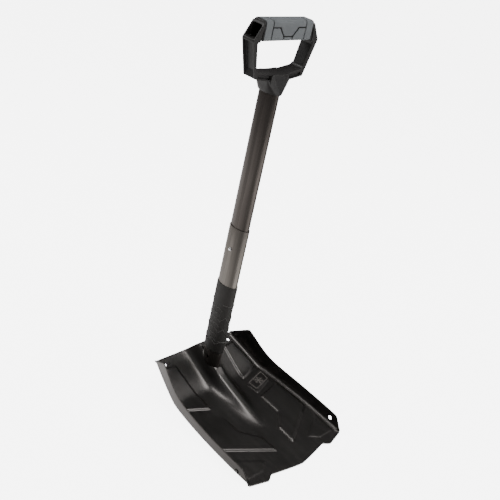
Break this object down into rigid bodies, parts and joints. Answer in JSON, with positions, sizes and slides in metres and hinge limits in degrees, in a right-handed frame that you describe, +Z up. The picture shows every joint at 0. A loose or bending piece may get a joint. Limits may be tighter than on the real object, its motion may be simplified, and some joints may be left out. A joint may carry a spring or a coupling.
{
  "type": "camp shovel",
  "caption": "Snow and camp shovel with an aluminium scoop set across a two-part oval telescoping shaft, a rubber hand sleeve and a padded D grip.",
  "frame": {"origin": "on the ground, under the middle of the shovel's bounding box; the shaft axis stands 97 mm behind it at x 0, y 0.097", "axes": "+Z up along the shaft to the grip, +X across the blade to the right, -Y from the shaft towards the cutting edge"},
  "size_m": [0.2316, 0.2868, 0.6512],
  "materials": {
    "blade_black": "satin black coating",
    "weld_bead": "coated weld",
    "lower_tube_gunmetal": "satin gunmetal anodised",
    "upper_tube_gunmetal": "satin dark gunmetal anodised",
    "sleeve_rubber": "matt rubber",
    "spring_steel": "bright spring steel",
    "button_steel": "bright plated",
    "bush_plastic": "plain",
    "handle_plastic": "fine grain",
    "screw_steel": "black zinc",
    "grip_rubber": "soft matt rubber"
  },
  "bodies": {
    "blade_assembly": {"blade": "blade_black", "socket_saddle": "blade_black", "saddle_welds": "weld_bead"},
    "lower_shaft": {"lower_tube": "lower_tube_gunmetal", "grip_sleeve": "sleeve_rubber", "release_spring": "spring_steel"},
    "release_catch": {"release_button": "button_steel"},
    "upper_shaft": {"upper_tube": "upper_tube_gunmetal", "upper_tube_bush": "bush_plastic", "telescope_spring": "spring_steel", "handle_frame": "handle_plastic", "handle_screw": "screw_steel", "grip_band_left": "grip_rubber", "grip_band_right": "grip_rubber", "grip_top_panel": "grip_rubber", "grip_pad_front_left": "grip_rubber", "grip_pad_front_right": "grip_rubber", "grip_pad_front_centre": "grip_rubber", "grip_pad_rear_left": "grip_rubber", "grip_pad_rear_right": "grip_rubber", "grip_pad_rear_centre": "grip_rubber"},
    "telescope_catch": {"telescope_button": "button_steel"}
  },
  "joints": [
    {"name": "shaft_release", "type": "slide", "parent": "blade_assembly", "child": "lower_shaft", "axis": [0, 0, 1], "range_m": [0, 0.033], "deforming": ["release_button", "release_spring"]},
    {"name": "shaft_telescope", "type": "slide", "parent": "lower_shaft", "child": "upper_shaft", "axis": [0, 0, 1], "range_m": [-0.219, 0], "deforming": ["telescope_button", "telescope_spring"]},
    {"name": "release_press", "type": "slide", "parent": "lower_shaft", "child": "release_catch", "axis": [-1, 0, 0], "range_m": [0, 0.0048], "stiffness_N_per_m": 1500, "springref_m": -0.002},
    {"name": "telescope_press", "type": "slide", "parent": "upper_shaft", "child": "telescope_catch", "axis": [1, 0, 0], "range_m": [0, 0.004], "stiffness_N_per_m": 1500, "springref_m": -0.002}
  ]
}
